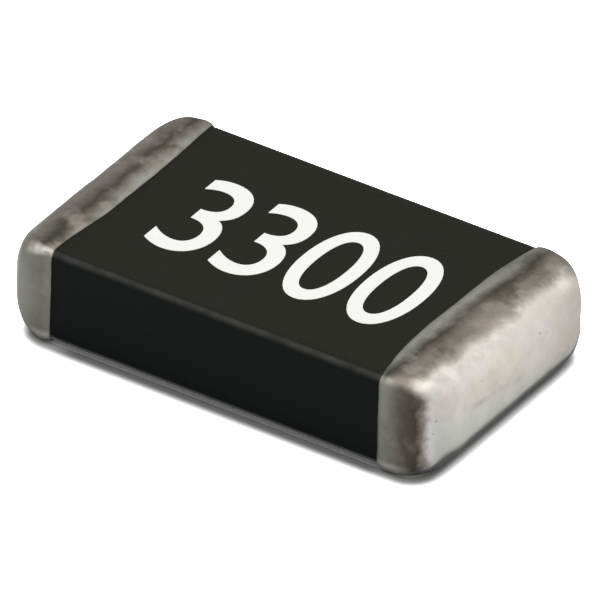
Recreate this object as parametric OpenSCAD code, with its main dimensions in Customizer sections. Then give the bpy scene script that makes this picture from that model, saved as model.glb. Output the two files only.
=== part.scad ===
// A multilayer ceramic chip capacitor of the 2.0 x 1.25 mm case size.
// One block of fired ceramic holds a stack of nickel electrodes that reach its two ends in turn.
// Each end is wrapped on five sides by three metal coats: fired copper, nickel, then tin.
// X runs along the chip, Z points up, and the origin is on the floor below the chip's centre.

/* [Chip] */
// Length over both metal ends
chip_l = 2.05; // [1.9:0.01:2.2]
// Width over the metal ends
chip_w = 1.18; // [1.05:0.01:1.4]
// Height over the metal ends
chip_t = 0.455; // [0.42:0.005:0.85]
// Radius of the four upright corners, seen from above
corner_r = 0.17; // [0.1:0.01:0.25]
// Radius of the edges round each end face
end_edge_r = 0.16; // [0.08:0.01:0.19]
// Radius of the four long edges
long_edge_r = 0.05; // [0.035:0.005:0.1]
// Distance from each end face over which the long edges grow rounder
nose_l = 0.27; // [0.22:0.01:0.34]

/* [Metal ends] */
// Reach of the left band along the top, at mid width
band_left = 0.265; // [0.2:0.005:0.4]
// Reach of the right band along the top, at mid width
band_right = 0.32; // [0.2:0.005:0.4]
// Amount by which the left band is shorter at the long edges
bow_left = 0.02; // [0.01:0.005:0.08]
// Amount by which the right band is shorter at the long edges
bow_right = 0.05; // [0.01:0.005:0.08]
// Thickness of the fired copper base coat along its band
base_t = 0.008; // [0.006:0.001:0.02]
// Thickness of the copper base over the end face, where the paste gathers
base_end_t = 0.055; // [0.035:0.005:0.07]
// Thickness of the nickel barrier coat
nickel_t = 0.003; // [0.002:0.0005:0.006]
// Thickness of the tin finish coat
tin_t = 0.005; // [0.003:0.0005:0.008]

/* [Electrode stack] */
// Number of electrode plates in the block
plate_count = 16; // [6:2:30]
// Thickness of one electrode plate
plate_t = 0.002; // [0.001:0.0005:0.004]
// Plain ceramic left above and below the stack
cover_t = 0.1; // [0.06:0.01:0.13]
// Plain ceramic left along each side of the plates
side_margin = 0.12; // [0.06:0.01:0.25]
// Plain ceramic between a plate's free end and the far metal end
end_margin = 0.17; // [0.1:0.01:0.3]

/* [Hidden] */
$fn = 96;
LEFT = -1;
RIGHT = 1;

// Depth of each coat's outer face below the finished surface
nickel_depth = tin_t;
base_depth = nickel_depth + nickel_t;
ceramic_depth = base_depth + base_t;
ceramic_end_depth = base_depth + base_end_t;

// Faces of the fired block
block_l = chip_l - 2 * ceramic_end_depth;
block_w = chip_w - 2 * ceramic_depth;
block_t = chip_t - 2 * ceramic_depth;

// Spacing of the plates, centre to centre
plate_pitch = (block_t - 2 * cover_t - plate_t) / (plate_count - 1);
plate_w = block_w - 2 * side_margin;
plate_l = block_l - end_margin;

// The corners are taken off by a ball at each end, which just clears the long edges beyond it
ball_gap = 0.002;
ball_x = chip_l / 2 - nose_l;
ball_r = norm([chip_w / 2 - long_edge_r, chip_t / 2 - long_edge_r]) + long_edge_r + ball_gap;

function band(side) = side == LEFT ? band_left : band_right;
function bow(side) = side == LEFT ? bow_left : bow_right;

// A band's inner edge lies on a large ball, which gives the edge its bow
function rim_r(side) = (pow(chip_w / 2, 2) + pow(bow(side), 2)) / (2 * bow(side));
function rim_sag(side) = rim_r(side) - sqrt(pow(rim_r(side), 2) - pow(chip_t / 2, 2));
function rim_x(side) = chip_l / 2 - band(side) - rim_sag(side) + rim_r(side);

function side_name(side) = side == LEFT ? "left" : "right";
function coat_name(metal, side) = str(metal, "_", side_name(side));
function plate_side(i) = i % 2 == 1 ? LEFT : RIGHT;
function plate_name(i) = str("inner_electrode_", i < 10 ? "0" : "", i);

// Rectangle of length a and width b, centred, with round corners of radius r
module round_rect(a, b, r) {
    square([a - 2 * r, b], center = true);
    square([a, b - 2 * r], center = true);
    for (x = [-1, 1])
        for (y = [-1, 1])
            translate([x * (a / 2 - r), y * (b / 2 - r)])
                circle(r);
}

// Bar of length h with that outline, centred on the origin
module round_bar(a, b, r, h) {
    linear_extrude(height = h, center = true)
        round_rect(a, b, r);
}

// Long bar with a ball at each end, which rounds the chip's corners
module corner_rounder(depth) {
    rotate([0, 90, 0])
        cylinder(r = ball_r - depth, h = 2 * ball_x, center = true);
    for (side = [LEFT, RIGHT])
        translate([side * ball_x, 0, 0])
            sphere(ball_r - depth);
}

// The chip's outer form on the floor, taken in by depth all round and by end_depth at the ends
module chip_form(depth, end_depth) {
    l = chip_l - 2 * end_depth;
    w = chip_w - 2 * depth;
    t = chip_t - 2 * depth;
    translate([0, 0, chip_t / 2])
        intersection() {
            round_bar(l, w, corner_r - end_depth, chip_t);
            rotate([90, 0, 0])
                round_bar(l, t, end_edge_r - end_depth, chip_w);
            rotate([90, 0, 90])
                round_bar(w, t, long_edge_r - depth, chip_l);
            corner_rounder(depth);
        }
}

// The fired block before its plates are taken out
module block_form() {
    chip_form(ceramic_depth, ceramic_end_depth);
}

// One end of the chip as far as a coat reaches, where each coat laps over the one under it
module coated_end(side, depth) {
    intersection() {
        chip_form(depth, depth);
        translate([side * rim_x(side), 0, chip_t / 2])
            sphere(rim_r(side) - depth, $fn = 400);
    }
}

// One plate of the stack, with its joined end run out past the block
module plate_blank(i) {
    side = plate_side(i);
    spare = ceramic_depth;
    translate([
        side * (end_margin + spare) / 2,
        0,
        ceramic_depth + cover_t + plate_t / 2 + (i - 1) * plate_pitch
    ])
        cube([plate_l + spare, plate_w, plate_t], center = true);
}

module inner_electrode(i) {
    color("slategray")
        intersection() {
            plate_blank(i);
            block_form();
        }
}

module ceramic_body() {
    color([0.12, 0.12, 0.11])
        difference() {
            block_form();
            for (i = [1:plate_count])
                plate_blank(i);
        }
}

module copper_base(side) {
    color("peru")
        difference() {
            coated_end(side, base_depth);
            block_form();
        }
}

module nickel_barrier(side) {
    color("gray")
        difference() {
            coated_end(side, nickel_depth);
            coated_end(side, base_depth);
            block_form();
        }
}

module tin_cap(side) {
    color("silver")
        difference() {
            coated_end(side, 0);
            coated_end(side, nickel_depth);
            block_form();
        }
}

ceramic_body();
for (side = [LEFT, RIGHT]) {
    copper_base(side);
    nickel_barrier(side);
    tin_cap(side);
}
for (i = [1:plate_count])
    inner_electrode(i);
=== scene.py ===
# %% [markdown]
# A chip capacitor, dressed for its portrait.
# The packed model is the fixed frame: its solids say how long, wide and high the chip is, how thick
# each metal coat is and how far the coats reach. Everything below only gives those solids their
# finish, so every size that can be read from the frame is read from it.

# %% Load the frame
import math

import bmesh
import bpy
from mathutils import Matrix, Vector, noise

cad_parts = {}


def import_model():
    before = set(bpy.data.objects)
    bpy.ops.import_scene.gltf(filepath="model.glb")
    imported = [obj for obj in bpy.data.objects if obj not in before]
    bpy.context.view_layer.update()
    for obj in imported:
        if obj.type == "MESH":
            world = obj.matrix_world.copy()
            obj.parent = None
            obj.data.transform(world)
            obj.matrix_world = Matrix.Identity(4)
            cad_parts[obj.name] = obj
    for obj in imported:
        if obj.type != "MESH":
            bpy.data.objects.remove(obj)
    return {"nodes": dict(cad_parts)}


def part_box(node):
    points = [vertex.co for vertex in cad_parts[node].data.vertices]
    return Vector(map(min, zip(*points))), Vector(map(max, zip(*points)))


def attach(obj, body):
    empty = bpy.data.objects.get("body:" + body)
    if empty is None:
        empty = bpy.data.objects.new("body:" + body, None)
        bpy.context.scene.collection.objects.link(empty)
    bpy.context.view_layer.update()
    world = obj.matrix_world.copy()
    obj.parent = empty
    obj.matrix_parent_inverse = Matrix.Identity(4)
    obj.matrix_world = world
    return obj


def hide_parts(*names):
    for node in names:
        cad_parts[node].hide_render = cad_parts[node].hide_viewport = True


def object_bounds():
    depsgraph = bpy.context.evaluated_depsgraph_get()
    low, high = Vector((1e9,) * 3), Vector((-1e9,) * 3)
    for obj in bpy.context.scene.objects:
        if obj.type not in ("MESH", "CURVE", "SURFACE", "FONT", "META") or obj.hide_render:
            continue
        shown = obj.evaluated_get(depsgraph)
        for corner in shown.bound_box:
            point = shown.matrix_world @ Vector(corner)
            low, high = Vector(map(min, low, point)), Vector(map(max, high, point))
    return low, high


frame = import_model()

cad_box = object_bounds()
MM = 0.001
print("nodes in the frame:", len(frame["nodes"]))

# %% [markdown]
# The chip's own sizes, in millimetres, because a chip of two millimetres is easier to think about
# that way. Each coat lies one step inside the next, so the depth of a coat's face below the finished
# surface is the difference between two boxes. The two ends are called left and right, and a sign
# tells on which side of the middle they lie.

# %% Read the sizes from the frame
HALF_L, HALF_W, CHIP_T = (c / MM for c in cad_box[1])
MID_Z = CHIP_T / 2
SIGNS = {"left": -1, "right": 1}


def reach(node):
    """The inner rim and the outer end of a coat, as distances from the chip's middle."""
    return sorted(abs(corner.x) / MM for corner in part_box(node))


RIMS = {}
DEPTHS = {}
for metal in ("tin_cap", "nickel_barrier", "copper_base"):
    for side in SIGNS:
        RIMS[metal, side], end = reach(f"{metal}_{side}")
    DEPTHS[metal] = HALF_L - end
block_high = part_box("ceramic_body")[1] / MM
BLOCK_DEPTH = HALF_W - block_high.y
BLOCK_END_DEPTH = HALF_L - block_high.x
print("half length, half width, height:", round(HALF_L, 4), round(HALF_W, 4), round(CHIP_T, 4))
print("depths:", {k: round(v, 4) for k, v in DEPTHS.items()}, round(BLOCK_DEPTH, 4))

# %% [markdown]
# The radii can't be read from a box, so they are written here as the real part has them. The long
# edges are fairly sharp along the block and grow rounder over the last stretch, where tumbling has
# worn the corners. The rim of each band is bowed, because the paste creeps further along the middle
# of a face than along its edges.

# %% Radii and bows
CORNER_R = 0.17
END_EDGE_R = 0.16
LONG_EDGE_R = 0.05
NOSE_EDGE_R = 0.105
NOSE_L = 0.27
ROUNDEST = 0.85
BOW = {"left": 0.025, "right": 0.055}


def ease(t):
    """A smooth step from 0 to 1."""
    t = min(1.0, max(0.0, t))
    return t * t * (3 - 2 * t)


def arc_drop(over, radius):
    """How far a quarter-round falls, a distance over past its start."""
    over = min(radius, max(0.0, over))
    return radius - math.sqrt(radius * radius - over * over)


def section(x, depth, end_depth):
    """Half width, half height and corner radius of the chip's cross-section at x."""
    end = HALF_L - end_depth
    corner, edge = CORNER_R - end_depth, END_EDGE_R - end_depth
    half_w = HALF_W - depth - arc_drop(x - (end - corner), corner)
    half_t = MID_Z - depth - arc_drop(x - (end - edge), edge)
    grown = (NOSE_EDGE_R - LONG_EDGE_R) * ease((x - (HALF_L - NOSE_L)) / NOSE_L)
    return half_w, half_t, min(LONG_EDGE_R - depth + grown, ROUNDEST * half_t)


print("section at the middle:", [round(v, 4) for v in section(0, 0, 0)])

# %% [markdown]
# Every piece of this chip is the same rounded rectangle, carried along X with a changing size. The
# outline is walked once round, corner by corner, and each of its points also knows how far it faces
# sideways: 0 on the top and underside, 1 on the flanks. The materials use that number later.

# %% The outline of one ring
ARC_STEPS = 12
WIDE_STEPS = 54
TALL_STEPS = 12
QUARTERS = ((1, 1), (-1, 1), (-1, -1), (1, -1))


def outline(half_w, half_t, radius):
    """Points (y, z) round a rounded rectangle, with how far each one faces sideways."""
    points = []
    for k, (sy, sz) in enumerate(QUARTERS):
        cy, cz = sy * (half_w - radius), sz * (half_t - radius)
        for i in range(ARC_STEPS + 1):
            turn = math.pi / 2 * (k + i / ARC_STEPS)
            flank = i / ARC_STEPS if k % 2 else 1 - i / ARC_STEPS
            points.append((cy + radius * math.cos(turn), cz + radius * math.sin(turn), flank))
        ny, nz = QUARTERS[(k + 1) % 4]
        next_turn = math.pi / 2 * (k + 1)
        here = (cy + radius * math.cos(next_turn), cz + radius * math.sin(next_turn))
        there = (
            ny * (half_w - radius) + radius * math.cos(next_turn),
            nz * (half_t - radius) + radius * math.sin(next_turn),
        )
        steps = TALL_STEPS if k % 2 else WIDE_STEPS
        for i in range(1, steps):
            f = i / steps
            points.append((
                here[0] + f * (there[0] - here[0]),
                here[1] + f * (there[1] - here[1]),
                1.0 if k % 2 else 0.0,
            ))
    return points


RING_POINTS = len(outline(1, 0.5, 0.1))
print("points in a ring:", RING_POINTS)

# %% [markdown]
# A piece is grown ring by ring. It starts as a circle from create_circle, whose points are moved to
# the first outline. The ring's edges are then extruded again and again, and each new ring is moved
# to its own outline, the way a potter pulls up a wall. Growing by extrusion keeps the points of
# neighbouring rings paired, which bridging two loose loops doesn't promise.

# %% Grow a skin from rings


def ring_edges(ring):
    """The edges that join a ring's points in order."""
    edges = []
    for a, b in zip(ring, ring[1:] + ring[:1]):
        edges.append(next(e for e in a.link_edges if e.other_vert(a) is b))
    return edges


def place_ring(ring, places, layer):
    """Moves a ring's points to their places and notes how far each one faces sideways."""
    for v, (x, y, z, flank) in zip(ring, places):
        v.co = Vector((x, y, z + MID_Z)) * MM
        v[layer] = flank


def grow(rings):
    """A closed skin through all the rings, with a flat lid on the first and the last."""
    bm = bmesh.new()
    layer = bm.verts.layers.float.new("flank")
    made = bmesh.ops.create_circle(bm, segments=RING_POINTS, radius=MM)
    ring = list(made["verts"])
    place_ring(ring, rings[0], layer)
    bmesh.ops.edgeloop_fill(bm, edges=ring_edges(ring))
    grown = [ring]
    for places in rings[1:]:
        fresh = bmesh.ops.extrude_edge_only(bm, edges=ring_edges(ring))["geom"]
        fresh = {v for v in fresh if isinstance(v, bmesh.types.BMVert)}
        ring = [
            next(e.other_vert(v) for e in v.link_edges if e.other_vert(v) in fresh) for v in ring
        ]
        place_ring(ring, places, layer)
        grown.append(ring)
    bmesh.ops.edgeloop_fill(bm, edges=ring_edges(ring))
    bmesh.ops.recalc_face_normals(bm, faces=bm.faces)
    bm.normal_update()
    return bm, grown


trial, _ = grow([[(x, y, z, f) for y, z, f in outline(0.5, 0.2, 0.05)] for x in (0, 1)])
print("a trial skin:", len(trial.faces), "faces,", round(trial.calc_volume() / MM ** 3, 4), "mm3")
trial.free()

# %% [markdown]
# A skin becomes a piece of the model when it gets a name, a material and a body to ride on, and the
# CAD nodes it stands for are hidden. Every face is shaded smooth, because these skins are rounded all
# over and their flat parts are so finely divided that they stay flat.

# %% Finish a piece


def finish_piece(bm, name, material, slot, *nodes):
    """Turns a bmesh into a piece that rides on the chip and stands for its CAD nodes."""
    for face in bm.faces:
        face.smooth = True
    mesh = bpy.data.meshes.new(name)
    bm.to_mesh(mesh)
    bm.free()
    piece = bpy.data.objects.new(name, mesh)
    bpy.context.scene.collection.objects.link(piece)
    piece.data.materials.append(material)
    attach(piece, "root")
    if nodes:
        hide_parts(*nodes)
    print(name, "faces:", len(mesh.polygons))


# %% [markdown]
# An end of the chip, from the middle of its end face out to where the straight part begins: first
# smaller copies of the last outline, which give the flat face points of its own, then the quarter
# round. The same function serves the block and every coat, at its own depth.

# %% Rings of an end
NOSE_STEPS = 18
FACE_SHARES = (0.14, 0.26, 0.38, 0.5, 0.62, 0.74, 0.87)
STRAIGHT_END = HALF_L - max(CORNER_R, END_EDGE_R)


def end_rings(sign, depth, end_depth):
    """Rings from the middle of an end face back to the straight part."""
    end = HALF_L - end_depth
    places = []
    last = outline(*section(end, depth, end_depth))
    for share in FACE_SHARES:
        places.append([(sign * end, y * share, z * share, f) for y, z, f in last])
    for i in range(NOSE_STEPS + 1):
        x = STRAIGHT_END + (end - STRAIGHT_END) * math.cos(math.pi / 2 * i / NOSE_STEPS)
        places.append([(sign * x, y, z, f) for y, z, f in outline(*section(x, depth, end_depth))])
    return places


print("rings in an end:", len(end_rings(1, 0, 0)), "from", round(STRAIGHT_END, 4), "mm")

# %% [markdown]
# Shader maths reads best as plain expressions. Field wraps one socket and overloads the operators, so
# that 1 - mask * 0.5 adds its own Math nodes. Any other node comes from the one method make, which
# takes the node's type, the settings to apply first, and the values or links of its sockets.

# %% A small class for shader expressions


class Field:
    """One output socket of a node tree, with arithmetic."""

    def __init__(self, tree, socket):
        self.tree, self.socket = tree, socket

    def make(self, kind, settings=None, inputs=None, output=0):
        """The output of a new node, from its type, its settings and what its sockets get."""
        node = self.tree.nodes.new(kind)
        for key, value in (settings or {}).items():
            if key == "ramp":
                set_ramp(node.color_ramp, value)
            else:
                setattr(node, key, value)
        for key, value in (inputs or {}).items():
            socket = node.inputs[key]
            if isinstance(value, Field):
                self.tree.links.new(value.socket, socket)
            else:
                socket.default_value = value
        return Field(self.tree, node.outputs[output])

    def maths(self, operation, *values):
        """A Math node on these values, which are numbers or fields."""
        inputs = dict(enumerate(values))
        return self.make("ShaderNodeMath", {"operation": operation}, inputs)

    def __add__(self, other):
        if isinstance(other, tuple):
            return self.make("ShaderNodeVectorMath", {"operation": "ADD"}, {0: self, 1: other})
        return self.maths("ADD", self, other)

    __radd__ = __add__

    def __mul__(self, other):
        return self.maths("MULTIPLY", self, other)

    __rmul__ = __mul__

    def __sub__(self, other):
        return self.maths("SUBTRACT", self, other)

    def __rsub__(self, other):
        return self.maths("SUBTRACT", other, self)

    def abs(self):
        return self.maths("ABSOLUTE", self)

    def axis(self, i):
        """X, Y or Z of a place, as i is 0, 1 or 2."""
        return self.make("ShaderNodeSeparateXYZ", {}, {0: self}, output=i)

    def power(self, exponent):
        return self.maths("POWER", self, exponent)

    def between(self, low, high):
        """0 below low, 1 above high and a smooth step between them."""
        return self.make(
            "ShaderNodeMapRange",
            {"interpolation_type": "SMOOTHSTEP"},
            {"Value": self, "From Min": low, "From Max": high},
        )

    def noise(self, scale, detail=3.0, roughness=0.5):
        """Noise in cells per millimetre, for a Field that is a place in millimetres."""
        return self.make(
            "ShaderNodeTexNoise",
            {},
            {"Vector": self, "Scale": scale, "Detail": detail, "Roughness": roughness},
        )

    def tones(self, stops):
        """A colour ramp over this value."""
        return self.make("ShaderNodeValToRGB", {"ramp": stops}, {"Fac": self})

    def mixed(self, factor, other):
        """This colour towards another one, a Field or (r, g, b), by factor."""
        if isinstance(other, tuple):
            other = (*other, 1)
        return self.make(
            "ShaderNodeMix",
            {"data_type": "RGBA"},
            {0: factor, 6: self, 7: other},
            output=2,
        )

    def shaded(self, amount):
        """This colour times a grey value."""
        return self.make(
            "ShaderNodeVectorMath",
            {"operation": "SCALE"},
            {0: self, "Scale": amount},
        )


print("a Field can:", [name for name in vars(Field) if not name.startswith("_")])

# %% [markdown]
# Colours are written as a screen shows them, from 0 to 255, because that is how they are picked, and
# are turned into the linear light that shaders count in. A colour ramp holds a row of them. It always
# keeps at least one stop, so the helper clears it down to one, moves that one and adds the rest.

# %% Colours and ramps


def srgb(r, g, b):
    """A colour as a screen shows it, from 0 to 255, turned into linear light."""
    return tuple(
        c / 12.92 if c <= 0.04045 else ((c + 0.055) / 1.055) ** 2.4
        for c in (r / 255, g / 255, b / 255)
    )


def set_ramp(ramp, stops):
    """Sets a colour ramp from (place, (r, g, b)) pairs in rising order."""
    while len(ramp.elements) > 1:
        ramp.elements.remove(ramp.elements[-1])
    ramp.elements[0].position = stops[0][0]
    ramp.elements[0].color = (*stops[0][1], 1)
    for place, colour in stops[1:]:
        ramp.elements.new(place).color = (*colour, 1)


print("a mid grey:", [round(c, 3) for c in srgb(128, 128, 128)])

# %% [markdown]
# Every material starts in the same way: a Principled shader, and the place of a point on the chip in
# millimetres, read from Object coordinates. Those stay put when the part is moved or turned, so the
# stains stay where they are too.

# %% A new material


def new_material(name):
    """A material with an empty Principled shader, and the place in millimetres that it reads."""
    material = bpy.data.materials.new(name)
    material.use_nodes = True
    tree = material.node_tree
    tree.nodes.clear()
    shader = tree.nodes.new("ShaderNodeBsdfPrincipled")
    output = tree.nodes.new("ShaderNodeOutputMaterial")
    tree.links.new(shader.outputs[0], output.inputs[0])
    coords = Field(tree, tree.nodes.new("ShaderNodeTexCoord").outputs["Object"])
    place = coords.make(
        "ShaderNodeVectorMath", {"operation": "SCALE"}, {0: coords, "Scale": 1 / MM}
    )
    return material, shader, place


def connect(field, shader, name):
    """Feeds a field to one of the shader's sockets."""
    field.tree.links.new(field.socket, shader.inputs[name])


def bump(height, shader, distance):
    """Feeds a height, in a distance in millimetres, to the shader's normal."""
    normal = height.make(
        "ShaderNodeBump", {}, {"Height": height, "Distance": distance * MM, "Strength": 1.0}
    )
    connect(normal, shader, "Normal")


print("a place is read in units of", MM, "m")

# %% [markdown]
# The block is black ceramic under a thin coat of glaze. It is nearly matt and a little brown, and its
# cut sides are painted darker and a little green, as shade. Its upper long edges carry a painted
# highlight, and its lower ones a pale line just above the floor, a painted reflection of the floor,
# which fades out up the side.

# %% The black ceramic
CERAMIC_TOP = srgb(22, 23, 14)
# The flanks are painted darker and greener than the top and underside, as shade.
CERAMIC_SHADED_SIDE = srgb(6, 13, 11)
# Painted highlight on the upper long edges.
CERAMIC_PAINTED_HIGHLIGHT = srgb(76, 76, 72)
# Painted reflection of the floor on the lower long edges, fading to darker greys up the side.
CERAMIC_PAINTED_REFLECTION = srgb(178, 178, 175)
CERAMIC_LOWER_PAINTED_REFLECTION = [
    (0.2, CERAMIC_TOP), (0.35, CERAMIC_PAINTED_REFLECTION), (0.5, CERAMIC_PAINTED_REFLECTION),
    (0.62, srgb(130, 130, 128)), (0.75, srgb(88, 88, 86)), (0.88, srgb(76, 77, 75)),
    (1.0, CERAMIC_SHADED_SIDE),
]


def black_ceramic():
    """Black on all sides, painted darker on the flanks as shade, with painted highlights and
    reflections on the long edges toned by how far they face sideways.
    """
    material, shader, place = new_material("black_ceramic")
    flank = place.make("ShaderNodeAttribute", {"attribute_name": "flank"}, output="Fac")
    cloud = place.noise(5.0, 4.0)
    grain = place.noise(90.0, 3.0, 0.6)
    top = flank.tones([(0.0, CERAMIC_TOP), (1.0, CERAMIC_SHADED_SIDE)])
    upper = place.axis(2).between(MID_Z - 0.02, MID_Z + 0.02)
    # Painted highlight on the upper long edges, patchy along them.
    painted_highlight_strength = upper * (0.5 + 1.2 * (place.noise(9.0, 3.0) - 0.4))
    painted_highlight = flank.between(0.1, 0.42) * (1 - flank.between(0.48, 0.95)) * painted_highlight_strength
    colour = top.mixed(painted_highlight, CERAMIC_PAINTED_HIGHLIGHT)
    # The lower long edges take the painted reflection of the floor.
    colour = colour.mixed(1 - upper, flank.tones(CERAMIC_LOWER_PAINTED_REFLECTION)).shaded(0.75 + 0.5 * cloud)
    connect(colour, shader, "Base Color")
    connect(0.45 + 0.14 * cloud, shader, "Roughness")
    shader.inputs["Specular IOR Level"].default_value = 0.07
    bump(grain * 0.5 + place.noise(30.0, 2.0), shader, 0.0012)
    return material


CERAMIC = black_ceramic()
print("material:", CERAMIC.name)

# %% [markdown]
# The fired block. It is grown in one go from the middle of its left end face to the middle of the
# right one. Its ends stay hidden under the metal, but they are made at their true depth.

# %% The ceramic block
BLOCK_RING_GAP = 0.05


def ceramic_block():
    """The block, with rings at even steps between its two rounded ends."""
    left = end_rings(-1, BLOCK_DEPTH, BLOCK_END_DEPTH)
    right = end_rings(1, BLOCK_DEPTH, BLOCK_END_DEPTH)
    count = round(2 * STRAIGHT_END / BLOCK_RING_GAP)
    middle = []
    for i in range(1, count):
        x = STRAIGHT_END * (2 * i / count - 1)
        shape = outline(*section(abs(x), BLOCK_DEPTH, BLOCK_END_DEPTH))
        middle.append([(x, y, z, f) for y, z, f in shape])
    bm, _ = grow(left + middle + right[::-1])
    finish_piece(bm, "ceramic_block", CERAMIC, "black_ceramic", "ceramic_body")


ceramic_block()

# %% [markdown]
# The metal. Tin plate is satin, not bright, and its tone changes with the distance from the end of
# the chip: pale on the end face, brown along the rounded edges, where the plating is thin, and pale
# again towards the rim. The darker tones of the band are partly stain on the thin plating and partly
# painted reflection of the shadowed floor and the dim room around, so each end has tones of its own.
# Two colour ramps hold those tones, one for the top and underside and one for the flanks. Ramps are
# easier to tune than a chain of masks, because each stop stands for a place on the metal.

# %% Tones of tin and painted reflections by the distance from the end
TIN_PALE = srgb(197, 191, 183)
TIN_FACE = srgb(194, 190, 184)
TIN_GREY = srgb(189, 187, 183)
TIN_RIM = srgb(134, 134, 127)
TIN_BROWN = srgb(118, 111, 103)
TIN_DARK = srgb(64, 61, 53)
TIN_FLANK = srgb(104, 103, 97)
TONE_SPAN = 0.36


def ramp_stops(pairs):
    """Stops of a tone ramp from (distance in millimetres, colour) pairs."""
    return [(distance / TONE_SPAN, colour) for distance, colour in pairs]


# Stops of plating tone, stain and painted reflection: the dark ones stand for the shadowed floor
# mirrored in the band.
TOP_TONES = {
    "right": ramp_stops([
        (0.0, TIN_FACE), (0.045, TIN_GREY), (0.078, TIN_PALE), (0.11, srgb(148, 141, 133)),
        (0.14, srgb(120, 113, 105)), (0.175, TIN_BROWN), (0.205, srgb(92, 87, 79)),
        (0.23, TIN_DARK), (0.25, srgb(92, 91, 85)), (0.28, TIN_RIM),
    ]),
    "left": ramp_stops([
        (0.0, TIN_GREY), (0.02, TIN_PALE), (0.045, srgb(134, 129, 122)), (0.07, TIN_FLANK),
        (0.11, TIN_BROWN), (0.14, srgb(96, 93, 87)), (0.175, srgb(66, 63, 56)),
        (0.21, srgb(114, 109, 101)), (0.25, TIN_RIM),
    ]),
}
FLANK_TONES = {
    "right": ramp_stops([
        (0.0, TIN_GREY), (0.055, TIN_GREY), (0.077, TIN_BROWN), (0.1, TIN_DARK),
        (0.14, srgb(74, 70, 63)), (0.175, srgb(86, 82, 75)), (0.2, srgb(100, 97, 91)),
        (0.225, srgb(112, 110, 105)), (0.25, srgb(124, 124, 119)),
    ]),
    "left": ramp_stops([
        (0.0, TIN_GREY), (0.06, TIN_RIM), (0.13, srgb(118, 117, 111)), (0.19, TIN_FLANK),
        (0.26, srgb(126, 126, 119)),
    ]),
}
print("stops on the top:", {side: len(stops) for side, stops in TOP_TONES.items()})

# %% [markdown]
# Every layer of the tin reads the same few things at a point: how far it lies from the end of the
# chip, how far it faces sideways, and three noises, one slow, one blotchy and one fine. They are
# worked out once here and handed round. The noises also shift the distance that the ramps read, so
# that no line of stain runs straight.

# %% What the layers of tin read
END_FACE = (0.02, 0.07)
WANDER_BLOTCH = 0.08
WANDER_FINE = 0.025
SLANT = {"left": 0.0, "right": 0.04}


class TinPlace:
    """A point on the tin: its place, its distance from the end and the shared noises."""

    def __init__(self, place):
        self.place = place
        self.flank = place.make("ShaderNodeAttribute", {"attribute_name": "flank"}, output="Fac")
        x, self.y, self.z = (place.axis(i) for i in range(3))
        self.blotch = place.noise(7.0, 4.0, 0.6)
        self.drift = place.noise(2.5, 2.0)
        self.fine = place.noise(34.0, 4.0, 0.6)
        self.from_end = HALF_L - x.abs()
        self.face = 1 - self.from_end.between(*END_FACE)


def tin_tones_and_reflections(at, side):
    """The colour of the ramps, partly painted reflection, from the top and underside over to the
    flanks.
    """
    wandering = at.from_end + WANDER_BLOTCH * (at.blotch - 0.5) + WANDER_FINE * (at.fine - 0.5)
    top = ((wandering + SLANT[side] * at.y) * (1 / TONE_SPAN)).tones(TOP_TONES[side])
    flanks = (wandering * (1 / TONE_SPAN)).tones(FLANK_TONES[side])
    return top.mixed(at.flank.between(0.35, 0.75) * at.from_end.between(0.005, 0.03), flanks)


print("the end face fades out from", END_FACE[0], "to", END_FACE[1], "mm from the end")

# %% [markdown]
# Round the end runs a mottled streak, where flux and handling have stained the thin plating olive,
# least of all along the middle of the band. The olive is partly a painted reflection of the shadowed
# floor, which the metal mirrors there. Paler patches break it up. Both are masks made of noise that
# fade out at the two borders of the streak. The noise of the paler patches is moved by a shift of its
# own, so that it doesn't follow the noise of the stains.

# %% Stains, painted reflection and paler patches in the streak
TIN_OLIVE = srgb(52, 52, 40)
TIN_WARM = srgb(158, 151, 143)
STREAK_STARTS, STREAK_ENDS = (0.05, 0.11), (0.22, 0.3)
PALER_PATCH_SHIFT = (3.1, 0.7, 1.9)
STAIN_AND_SHADE_PART = 0.75
MIDDLE_PALER_PATCH = {"left": 0.0, "right": 0.3}


def stained_and_shaded(colour, at, side):
    """The colour with olive stains, partly painted reflection, and paler patches in the streak round
    the end.
    """
    streak = at.from_end.between(*STREAK_STARTS) * (1 - at.from_end.between(*STREAK_ENDS))
    streak = streak * (1 - 0.6 * at.flank)
    # Stain and painted reflection of the shadowed floor, as one mottled mask.
    stain_and_shade = at.place.noise(10.0, 4.0, 0.55).between(0.42, 0.7)
    stain_and_shade = stain_and_shade * (0.3 + 0.7 * at.y.abs().between(0.0, 0.25)) * at.drift.between(0.25, 0.7)
    colour = colour.mixed(STAIN_AND_SHADE_PART * stain_and_shade * streak, TIN_OLIVE)
    paler_patch = (at.place + PALER_PATCH_SHIFT).noise(9.0, 3.0, 0.5).between(0.48, 0.75)
    middle = (1 - at.y.abs().between(0.02, 0.2)) * at.blotch
    paler_patch = 0.5 * paler_patch + MIDDLE_PALER_PATCH[side] * middle
    return colour.mixed(paler_patch * streak, TIN_WARM)


print("part of olive in a stain:", STAIN_AND_SHADE_PART)

# %% [markdown]
# The end face is pale but not one grey: a little pink and cream above and a little green below,
# clouded, with one faint drag mark slanting across it, as plating shows that was rubbed on a tray.
# Height plus a part of y gives a slanted coordinate, which both the change of hue and the mark use.

# %% Hues of the end face
TIN_PINK = srgb(200, 193, 189)
TIN_CREAM = srgb(197, 191, 178)
TIN_GREEN = srgb(192, 193, 188)
MARK_HEIGHT = 0.21
MARK_SLOPE = 0.18
MARK_WIDTH = (0.004, 0.024)
CREAM_SHIFT = (0.9, 4.4, 2.7)
CLOUD_SHIFT = (7.7, 1.3, 3.9)


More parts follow.
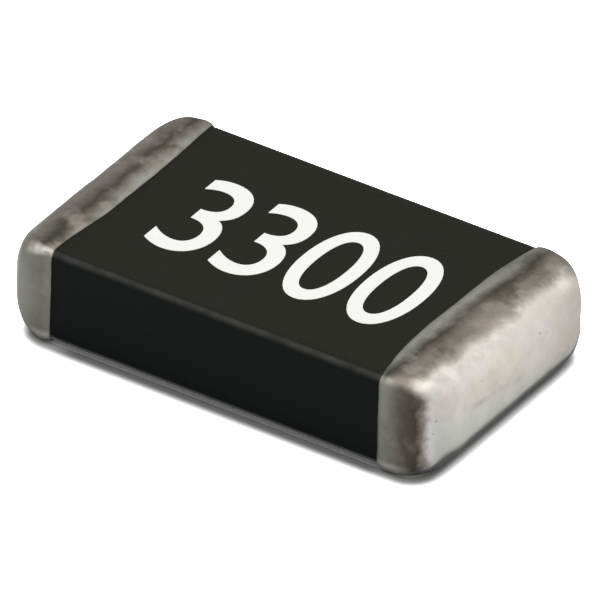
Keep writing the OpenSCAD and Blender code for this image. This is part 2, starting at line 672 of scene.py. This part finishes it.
def hued_face(colour, at):
    """The colour with the hues, the clouds and the drag mark of the end face."""
    slanted = at.z + MARK_SLOPE * at.y
    high = slanted.between(0.13, 0.29)
    creamy = (at.place + CREAM_SHIFT).noise(5.0, 3.0).between(0.42, 0.6)
    colour = colour.mixed(0.9 * at.face * high, TIN_PINK)
    cream = 0.8 * at.face * high * creamy * (1 - at.drift.between(0.5, 0.7))
    colour = colour.mixed(cream, TIN_CREAM)
    colour = colour.mixed(0.8 * at.face * (1 - high), TIN_GREEN)
    cloud = (at.place + CLOUD_SHIFT).noise(11.0, 3.0, 0.6)
    colour = colour.shaded(1 + 0.35 * at.face * (cloud - 0.5))
    from_mark = (slanted - MARK_HEIGHT + 0.05 * (at.blotch - 0.5)).abs()
    mark = at.face * (1 - from_mark.between(*MARK_WIDTH)) * creamy
    return colour.mixed(0.22 * mark, TIN_FLANK)


print("drag mark at mid width:", MARK_HEIGHT, "mm above the floor")

# %% [markdown]
# Painted highlights make the tin brighter along the upper long edges, from behind the rounded corner
# to the rim, and painted glints sit on the bend above the end face, each stronger on one end than the
# other. Patches by the rim and a few specks are darker.

# %% Painted edge highlights, painted glints and specks
TIN_PAINTED_HIGHLIGHT = srgb(196, 193, 184)
TIN_PAINTED_GLINT = srgb(216, 209, 202)
PAINTED_HIGHLIGHT_PART = {"left": 0.9, "right": 0.5}
PAINTED_HIGHLIGHT_FROM = {"left": (0.08, 0.16), "right": (0.17, 0.24)}
PAINTED_GLINTS = {"left": 0.2, "right": 0.4}
GLINT_SHIFT = (5.3, 2.2, 0.4)


def tin_highlights_glints_and_specks(colour, at, side):
    """The colour with dark patches by the rim, painted edge highlights, painted glints and specks."""
    patch = at.place.noise(18.0, 3.0).between(0.45, 0.65) * at.from_end.between(0.24, 0.28)
    colour = colour.mixed(0.25 * patch, TIN_FLANK)
    # Painted highlight along the upper long edges, patchy along them.
    edge = at.flank.between(0.18, 0.5) * (1 - at.flank.between(0.56, 0.86))
    edge = edge * at.z.between(MID_Z, 0.8 * CHIP_T)
    painted_highlight = edge * (0.35 + 0.65 * at.place.noise(16.0, 3.0).between(0.3, 0.6))
    painted_highlight = painted_highlight * at.from_end.between(*PAINTED_HIGHLIGHT_FROM[side])
    colour = colour.mixed(PAINTED_HIGHLIGHT_PART[side] * painted_highlight, TIN_PAINTED_HIGHLIGHT)
    # Painted glints on the bend above the end face.
    glint = (at.place + GLINT_SHIFT).noise(13.0, 3.0, 0.55).between(0.5, 0.64)
    bend = at.from_end.between(0.03, 0.05) * (1 - at.from_end.between(0.085, 0.115))
    colour = colour.mixed(PAINTED_GLINTS[side] * glint * bend * (1 - at.flank), TIN_PAINTED_GLINT)
    speck = at.place.noise(24.0, 2.0).between(0.71, 0.78)
    return colour.mixed(0.3 * speck, TIN_DARK)


print("rubbed from (mm):", PAINTED_HIGHLIGHT_FROM)

# %% [markdown]
# The foot is painted dark, as shade close to the floor. The painted shade reaches up the bend under
# the end face and only just shows on the flanks, where a paler sill, a painted reflection of the
# floor, lies over it. Last comes broad painted shade: the far half of the end face, its lower part
# and its near edge are darker, and so is the far rim.

# %% The foot and the broad places of painted shade
TIN_FOOT_SHADE = srgb(86, 86, 84)
FAR_RIM_SHADE = {"left": 0.08, "right": 0.25}


def painted_foot_shade_mask(at):
    """1 on the foot painted dark as shade, which reaches less high on the flanks than under the end
    face.
    """
    sideways = at.flank * at.from_end.between(0.015, 0.07)
    limits = (0.1 - 0.09 * sideways, 0.145 - 0.11 * sideways)
    low = 1 - (at.z + 0.02 * (at.blotch - 0.5)).between(*limits)
    return low * at.z.between(0.002, 0.02)


def painted_sill_reflection_mask(at):
    """1 on the lower long edges, past the rounded end, where a pale reflection of the floor is
    painted.
    """
    sideways = at.flank.between(0.3, 0.6)
    return sideways * (1 - at.z.between(0.04, 0.08)) * at.from_end.between(0.1, 0.17)


def painted_shade(at, side):
    """How much painted shade darkens a place below its tones."""
    # Painted shade on the far half, the far edge, the lower part and the near edge of the end face.
    shade_amount = 0.2 * at.y.between(0.1, 0.5) + 0.2 * at.y.between(0.47, 0.56)
    shade_amount = shade_amount + 0.07 * (1 - at.z.between(0.13, 0.3)) + 0.16 * (1 - at.y.between(-0.55, -0.36))
    # Painted shade on the far rim.
    far_rim = at.y.between(0.1, 0.4) * at.from_end.between(0.22, 0.26)
    return at.face * shade_amount + FAR_RIM_SHADE[side] * far_rim


print("stain of the far rim:", FAR_RIM_SHADE)

# %% [markdown]
# The layers lie over each other in this order: the tones of the plating with their painted
# reflections, the stains with their painted reflection of the floor, the hues of the end face, the
# painted highlights and glints, the painted shade of the foot, the painted reflection on the sill,
# and the broad painted shade. The specular tint takes a little off the reflection at grazing angles,
# where plain metal would turn white. Roughness and bump follow the same noises as the colour, so a
# blotch also catches the light as one.

# %% The tin plate
GRAZING_TINT = (0.7, 0.7, 0.7, 1)


def tin_plate(side):
    """Satin tin for one end, with all its layers."""
    material, shader, place = new_material("tin_" + side)
    at = TinPlace(place)
    colour = stained_and_shaded(tin_tones_and_reflections(at, side), at, side)
    colour = tin_highlights_glints_and_specks(hued_face(colour, at), at, side)
    low = painted_foot_shade_mask(at)
    # Painted shade on the foot.
    colour = colour.mixed(0.9 * low, TIN_FOOT_SHADE)
    # Painted reflection of the floor on the lower long edges.
    colour = colour.mixed(0.5 * painted_sill_reflection_mask(at), TIN_PAINTED_HIGHLIGHT)
    colour = colour.shaded(0.9 + 0.1 * at.fine + 0.1 * at.blotch - painted_shade(at, side))
    connect(colour, shader, "Base Color")
    shader.inputs["Metallic"].default_value = 1.0
    shader.inputs["Specular Tint"].default_value = GRAZING_TINT
    connect(0.36 + 0.2 * at.blotch + 0.2 * low, shader, "Roughness")
    bump(at.blotch * 2.0 + at.fine * 0.3, shader, 0.0014)
    return material


TIN = {side: tin_plate(side) for side in SIGNS}
print("materials:", [m.name for m in TIN.values()])

# %% [markdown]
# The two inner coats hardly show, but they are there for whoever takes the model apart: nickel,
# greyish and even, and fired copper, duller and grainy. The electrodes are thin films of nickel
# paste, fired together with the block, and duller still.

# %% Nickel, copper and the electrodes


def plain_metal(name, colour, roughness, grain_size):
    """An even metal with a fine grain, so many grains to a millimetre."""
    material, shader, place = new_material(name)
    grain = place.noise(grain_size, 3.0)
    tone = grain.tones([(0.25, tuple(0.8 * c for c in colour)), (0.75, colour)])
    connect(tone, shader, "Base Color")
    shader.inputs["Metallic"].default_value = 1.0
    connect(roughness + 0.15 * (grain - 0.5), shader, "Roughness")
    bump(grain, shader, 0.0006)
    return material


NICKEL = plain_metal("nickel_plate", srgb(196, 190, 178), 0.34, 40.0)
COPPER = plain_metal("fired_copper", srgb(200, 132, 98), 0.5, 60.0)
ELECTRODE = plain_metal("electrode_nickel", srgb(150, 148, 142), 0.45, 70.0)
print("materials:", [m.name for m in (NICKEL, COPPER, ELECTRODE)])

# %% [markdown]
# A coat is a cup with a wrapped rim. Its skin runs up the inside from the middle of the end face,
# turns round the rim and comes back over the outside, so one list of rings makes the whole closed
# shell. Dried paste and plating thin out towards their rim, so each coat swells from nothing to its
# full thickness over a short lip, and the coat above follows it. The two rims aren't alike: the right
# one bows all along, with the cube of the distance from its middle, while the left one stays straight
# in the middle and draws back near the long edges. Noise makes both a little wavy.

# %% Rims of the coats
LIP_L = 0.05
LIP_STEPS = 8
BAND_STEPS = 8
CREEP = 0.012
WAVE = 0.006
FRAY = 0.0015


def rim_sag(side, y, z):
    """How far the rim draws back towards the end at (y, z), from its furthest reach."""
    across = abs(y) / HALF_W
    spot = Vector((y, z, 3.0 if side == "left" else 8.0))
    wave = WAVE * (0.5 + 0.5 * noise.noise(spot * 5)) + FRAY * (1 + noise.noise(spot * 22))
    if side == "right":
        bow = BOW[side] * min(across, 0.93) ** 3
        return bow + 0.008 * ease((y + 0.3) / 0.4) + wave - CREEP
    if y < 0:
        return BOW[side] * ease((abs(y) - 0.15) / 0.35) + wave
    return 0.5 * BOW[side] * ease((abs(y) - 0.25) / 0.3) + wave


def lip_depth(metal, step):
    """Depth of a coat's outer face at a step from its own rim."""
    swell = math.sqrt(1 - (1 - min(1.0, step / LIP_L)) ** 2)
    return BLOCK_DEPTH - (BLOCK_DEPTH - DEPTHS[metal]) * swell


def band_ring(side, rim, step, depth, end_depth, share=0.0):
    """A ring at a step from the rim, drawn straight by share as it nears the rounded end."""
    nominal = rim + step
    near = nominal + share * (STRAIGHT_END - nominal)
    shape = outline(*section(near, depth, end_depth))
    return [
        (SIGNS[side] * (near + (1 - share) * rim_sag(side, y, z)), y, z, f)
        for y, z, f in shape
    ]


def lip_rings(side, metal):
    """Rings over the swelling lip of a coat, from its rim inwards."""
    rim = RIMS[metal, side]
    rings = []
    for i in range(LIP_STEPS + 1):
        step = LIP_L * (1 - math.cos(math.pi / 2 * i / LIP_STEPS))
        depth = lip_depth(metal, step)
        rings.append(band_ring(side, rim, step, depth, DEPTHS[metal]))
    return rings


def band_rings(side, rim, depth, end_depth):
    """Rings from the full thickness of the band to where the rounded end begins."""
    return [
        band_ring(side, rim, LIP_L, depth, end_depth, i / BAND_STEPS)
        for i in range(1, BAND_STEPS)
    ]


print("rim drawn back at the front:", {
    side: round(rim_sag(side, -HALF_W, 0), 4) for side in SIGNS
})

# %% [markdown]
# The outside of the tin isn't flat: it flowed a little when it was plated over grainy copper. Its
# points are pushed in by a slow noise of one or two thousandths of a millimetre, never out, so the
# chip keeps its size.

# %% Coats
UNDER = {"tin_cap": "nickel_barrier", "nickel_barrier": "copper_base", "copper_base": None}
LUMP = 0.003
BROAD_LUMPS, SMALL_LUMPS = 6 / MM, 15 / MM


def coat_rings(side, metal):
    """Rings of a coat from the middle of its inner face, round the rim, to its outer face."""
    sign, depth, under = SIGNS[side], DEPTHS[metal], UNDER[metal]
    if under:
        inner = end_rings(sign, DEPTHS[under], DEPTHS[under])
        inner += band_rings(side, RIMS[under, side], DEPTHS[under], DEPTHS[under])[::-1]
        inner += lip_rings(side, under)[::-1]
    else:
        inner = end_rings(sign, BLOCK_DEPTH, BLOCK_END_DEPTH)
        inner += band_rings(side, RIMS[metal, side], BLOCK_DEPTH, BLOCK_END_DEPTH)[::-1]
    outer = lip_rings(side, metal)
    outer += band_rings(side, RIMS[metal, side], depth, depth)
    outer += end_rings(sign, depth, depth)[::-1]
    return inner, outer


def push_in(rings):
    """Pushes the points of rings in along their normals by a slow noise, from the rim on."""
    for i, ring in enumerate(rings):
        strength = ease(i / LIP_STEPS)
        for v in ring:
            swing = noise.noise(v.co * BROAD_LUMPS) + 0.5 * noise.noise(v.co * SMALL_LUMPS)
            inwards = LUMP * strength * min(1.0, max(0.0, 0.5 + swing))
            v.co -= v.normal * inwards * MM


def coat(metal, side, material, slot):
    """One coat of one end. Only the outside of the tin is lumpy."""
    inner, outer = coat_rings(side, metal)
    bm, rings = grow(inner + outer)
    if metal == "tin_cap":
        push_in(rings[len(inner):])
    name = f"{metal}_{side}"
    finish_piece(bm, name + "_skin", material, slot, name)


for side in SIGNS:
    coat("copper_base", side, COPPER, "copper")
    coat("nickel_barrier", side, NICKEL, "nickel")
    coat("tin_cap", side, TIN[side], "tin")

# %% [markdown]
# The inner electrodes are flat plates that end on the block's end faces, left and right in turn. The
# CAD nodes have that shape already, so they keep their own meshes and only get a material.

# %% The electrodes
electrodes = [node for name, node in frame["nodes"].items() if name.startswith("inner_electrode")]
for node in electrodes:
    for slot in node.material_slots:
        slot.material = ELECTRODE
print("electrodes:", len(electrodes))

# %% [markdown]
# The marking on the top face is white ink, stamped on and baked: chalky, with hardly any gloss, and
# a grain that lets a trace of grey through.

# %% White ink
INK = srgb(255, 255, 252)


def ink_material():
    """Chalky white ink."""
    material, shader, place = new_material("white_ink")
    grain = place.noise(60.0, 3.0)
    tone = grain.tones([(0.2, tuple(0.97 * c for c in INK)), (0.6, INK)])
    connect(tone, shader, "Base Color")
    connect(0.6 + 0.15 * grain, shader, "Roughness")
    shader.inputs["Specular IOR Level"].default_value = 0.3
    bump(grain, shader, 0.0006)
    return material


INK_MATERIAL = ink_material()
print("material:", INK_MATERIAL.name)

# %% [markdown]
# The ink stands as four plain numerals. Text is a curve at first, so each numeral becomes a mesh
# before it is squeezed and placed. The curve's offset makes the strokes a little bolder, as ink that
# spreads does, and its extrusion makes them solid. Each numeral is made alone, because the spacing of
# a font isn't that of a stamp.

# %% One numeral
INK_WEIGHT = 0.002
WELD = 1e-5


def numeral(character):
    """One numeral as a solid bmesh, in the font's own size and one unit thick."""
    curve = bpy.data.curves.new("numeral", "FONT")
    curve.body = character
    curve.resolution_u = 10
    curve.offset = INK_WEIGHT
    curve.extrude = 0.5
    source = bpy.data.objects.new("numeral", curve)
    bpy.context.scene.collection.objects.link(source)
    graph = bpy.context.evaluated_depsgraph_get()
    mesh = bpy.data.meshes.new_from_object(source.evaluated_get(graph))
    bpy.data.objects.remove(source)
    bpy.data.curves.remove(curve)
    bm = bmesh.new()
    bm.from_mesh(mesh)
    bpy.data.meshes.remove(mesh)
    bmesh.ops.remove_doubles(bm, verts=bm.verts, dist=WELD)
    return bm


trial = numeral("0")
print("faces of a nought:", len(trial.faces))
trial.free()

# %% [markdown]
# The numerals stand in a row along the chip, each a little narrower than it is high, in a film of ink
# a few thousandths of a millimetre thick. The film is sunk into the block by a sliver, so that no
# gap shows under it. All of them together are one piece, and it rides on the chip like the rest.

# %% The marking
INK_TEXT = "3300"
INK_HEIGHT = 0.55
INK_PITCH = 0.30
INK_WIDTHS = {"3": 0.245, "0": 0.267}
INK_CENTRE = (0.013, -0.023)
INK_T = 0.003
INK_SUNK = 0.0005


def numerals():
    """All the numerals, squeezed to size and set on the top face as one piece."""
    whole = bmesh.new()
    top = CHIP_T - BLOCK_DEPTH
    for i, character in enumerate(INK_TEXT):
        bm = numeral(character)
        xs = [v.co.x for v in bm.verts]
        ys = [v.co.y for v in bm.verts]
        middle = Vector(((min(xs) + max(xs)) / 2, (min(ys) + max(ys)) / 2, 0))
        wide = INK_WIDTHS[character] / (max(xs) - min(xs))
        tall = INK_HEIGHT / (max(ys) - min(ys))
        bmesh.ops.translate(bm, verts=bm.verts, vec=-middle)
        bmesh.ops.scale(bm, verts=bm.verts, vec=(wide * MM, tall * MM, INK_T * MM))
        x = INK_CENTRE[0] + (i - (len(INK_TEXT) - 1) / 2) * INK_PITCH
        place = Vector((x, INK_CENTRE[1], top + INK_T / 2 - INK_SUNK)) * MM
        bmesh.ops.translate(bm, verts=bm.verts, vec=place)
        mesh = bpy.data.meshes.new("numeral")
        bm.to_mesh(mesh)
        bm.free()
        whole.from_mesh(mesh)
        bpy.data.meshes.remove(mesh)
    bmesh.ops.recalc_face_normals(whole, faces=whole.faces)
    mesh = bpy.data.meshes.new("marking")
    whole.to_mesh(mesh)
    whole.free()
    piece = bpy.data.objects.new("marking", mesh)
    bpy.context.scene.collection.objects.link(piece)
    piece.data.materials.append(INK_MATERIAL)
    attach(piece, "root")
    print("marking faces:", len(mesh.polygons))


numerals()

# %% [markdown]
# A floor that looks like white paper would throw too much light up at the chip. The Light Path node
# tells the rays apart, so the floor and the world can be white to the camera and to reflections and
# dimmer to the rays that carry light.

# %% Rays that see the background
WORLD_LIGHT = 0.35


def seen_rays(tree):
    """1 for rays from the camera, and 1 for rays that see the background in gloss or glass."""
    node = tree.nodes.new("ShaderNodeLightPath")
    camera_ray, glossy, through = (
        Field(tree, node.outputs[name])
        for name in ("Is Camera Ray", "Is Glossy Ray", "Is Transmission Ray")
    )
    return camera_ray, glossy.maths("MAXIMUM", glossy, through)


def world():
    """White to the camera and in reflections, and dim as a source of light."""
    sky = bpy.data.worlds.new("studio")
    bpy.context.scene.world = sky
    sky.use_nodes = True
    tree = sky.node_tree
    background = tree.nodes["Background"]
    background.inputs["Color"].default_value = (1, 1, 1, 1)
    camera_ray, gloss = seen_rays(tree)
    strength = WORLD_LIGHT + (1 - WORLD_LIGHT) * (camera_ray + gloss)
    tree.links.new(strength.socket, background.inputs["Strength"])


world()
print("world:", bpy.context.scene.world.name, "as light:", WORLD_LIGHT)

# %% [markdown]
# The dark line close round the foot of the chip is partly its true shadow and partly paint on the
# floor. The paint follows a rounded rectangle, shorter than the chip because its ends are rounded. It
# is paler under the edge of the block, which doesn't reach the floor, and under the two ends. How
# far a point lies outside the rectangle is worked out in the material, as for any rounded box: past
# the straight sides by x or y alone, and past a corner by both.

# %% The dark line at the foot
FOOT_CENTRE = (0.012, 0.0)
FOOT_HALF = (0.951, 0.602)
FOOT_R = 0.12
FOOT_FADE = (-0.022, 0.058)
FOOT_LEVEL = 0.065
FOOT_LEVEL_ENDS = 2.2
FOOT_ENDS = (0.68, 0.8)
FOOT_INNER = ((-0.1, -0.075), (-0.072, -0.04))
FOOT_INNER_LEVEL = 0.5


def foot_distance(tree):
    """How far along the chip a point of the floor lies, and how far outside its footprint."""
    coords = Field(tree, tree.nodes.new("ShaderNodeTexCoord").outputs["Object"])
    along, across = (
        (coords.axis(i) * (1 / MM) - FOOT_CENTRE[i]).abs() for i in range(2)
    )
    over_x, over_y = (
        o.maths("MAXIMUM", o - (half - FOOT_R), 0.0)
        for o, half in zip((along, across), FOOT_HALF)
    )
    return along, (over_x * over_x + over_y * over_y).power(0.5) - FOOT_R


def foot_paint(tree):
    """How dark the floor is painted, from 0 to 1."""
    along, distance = foot_distance(tree)
    level = FOOT_LEVEL * (1 + (FOOT_LEVEL_ENDS - 1) * along.between(*FOOT_ENDS))
    inner = distance.between(*FOOT_INNER[0]) * (1 - distance.between(*FOOT_INNER[1]))
    level = level + FOOT_INNER_LEVEL * inner
    return (1 - level) * (1 - distance.between(*FOOT_FADE))


print("the line fades out", FOOT_FADE[1], "mm outside its rectangle")

# %% [markdown]
# The floor is plain, and as pale as its kind of ray asks: what the reflections see of it is a little
# lighter than what it throws back as light, and what the camera sees is lighter still. Only the camera
# and the reflections see the paint, so that it takes no light from the chip. The floor lies one
# thousandth of a millimetre under the chip, or the two would show through each other.

# %% The floor
FLOOR_HALF = 400 * MM
FLOOR_GAP = 0.001 * MM
FLOOR_LIGHT = 0.8
FLOOR_SEEN = 1.3
FLOOR_CAMERA = 4.0


def floor():
    """The floor and its material, whose level depends on the kind of ray that asks."""
    bm = bmesh.new()
    bmesh.ops.create_grid(bm, x_segments=1, y_segments=1, size=FLOOR_HALF)
    bmesh.ops.translate(bm, verts=bm.verts, vec=(0, 0, -FLOOR_GAP))
    mesh = bpy.data.meshes.new("floor")
    bm.to_mesh(mesh)
    bm.free()
    piece = bpy.data.objects.new("floor", mesh)
    bpy.context.scene.collection.objects.link(piece)
    material = bpy.data.materials.new("floor")
    material.use_nodes = True
    tree = material.node_tree
    tree.nodes.clear()
    diffuse = tree.nodes.new("ShaderNodeBsdfDiffuse")
    output = tree.nodes.new("ShaderNodeOutputMaterial")
    camera_ray, gloss = seen_rays(tree)
    level = FLOOR_LIGHT + (FLOOR_SEEN - FLOOR_LIGHT) * gloss
    level = level + (FLOOR_CAMERA - FLOOR_LIGHT) * camera_ray
    level = level * (1 - foot_paint(tree) * (camera_ray + gloss))
    tree.links.new(level.socket, diffuse.inputs["Color"])
    tree.links.new(diffuse.outputs[0], output.inputs[0])
    mesh.materials.append(material)


floor()
print("floor:", 2 * FLOOR_HALF / MM, "mm wide")

# %% [markdown]
# Two soft boxes: a large one overhead, which lights the top to the level at which a colour renders
# about as it is written, and an upright one behind and to the right, which brightens the end face.

# %% Lamps
AIM = Vector((0, 0, 0))


def soft_box(name, place, size, radiance):
    """A square area lamp at place, in millimetres, facing the chip."""
    lamp = bpy.data.lights.new(name, "AREA")
    lamp.shape = "SQUARE"
    lamp.size = size * MM
    lamp.energy = radiance * math.pi * (size * MM) ** 2
    thing = bpy.data.objects.new(name, lamp)
    bpy.context.scene.collection.objects.link(thing)
    place = Vector(place) * MM
    turn = (AIM - place).to_track_quat("-Z", "Y").to_matrix().to_4x4()
    thing.matrix_world = Matrix.Translation(place) @ turn
    thing.visible_camera = False


soft_box("overhead_box", place=(0, 0, 30), size=50, radiance=1.18)
soft_box("side_box", place=(24, 20, 10), size=24, radiance=0.4)
print("lamps:", [light.name for light in bpy.data.lights])

# %% [markdown]
# The camera stands where the photograph was taken from: turned 32 degrees round the chip, 34 degrees
# above the floor, far away, and rolled a little.

# %% Camera
AZIMUTH, ELEVATION, ROLL = (math.radians(d) for d in (32.35, 33.6, 1.45))
DISTANCE = 95.0
SCALE = 253.4
IMAGE = 600
CHIP_AT = (298.65, 295.19)


def camera():
    """A camera far off on the line of sight, with a lens to match."""
    back = Vector((
        math.sin(AZIMUTH) * math.cos(ELEVATION),
        -math.cos(AZIMUTH) * math.cos(ELEVATION),
        math.sin(ELEVATION),
    ))
    turn = (-back).to_track_quat("-Z", "Y").to_matrix()
    turn = turn @ Matrix.Rotation(ROLL, 3, "Z")
    right, up = turn.col[0], turn.col[1]
    aim = right * (IMAGE / 2 - CHIP_AT[0]) / SCALE - up * (IMAGE / 2 - CHIP_AT[1]) / SCALE
    place = Vector((0, 0, MID_Z)) + aim + back * DISTANCE
    data = bpy.data.cameras.new("camera")
    data.sensor_width = 36
    data.lens = data.sensor_width / 2 * DISTANCE / (IMAGE / 2 / SCALE)
    data.clip_start, data.clip_end = 1 * MM, 2000 * MM
    thing = bpy.data.objects.new("camera", data)
    bpy.context.scene.collection.objects.link(thing)
    thing.matrix_world = Matrix.Translation(place * MM) @ turn.to_4x4()
    bpy.context.scene.camera = thing
    print("lens:", round(data.lens, 1), "mm")


camera()

# %% [markdown]
# Plain colour handling, then the sizes of the CAD box, and the last line.

# %% Finish
bpy.context.scene.view_settings.view_transform = "Standard"
print("CAD box:", [[round(v / MM, 4) for v in c] for c in cad_box])
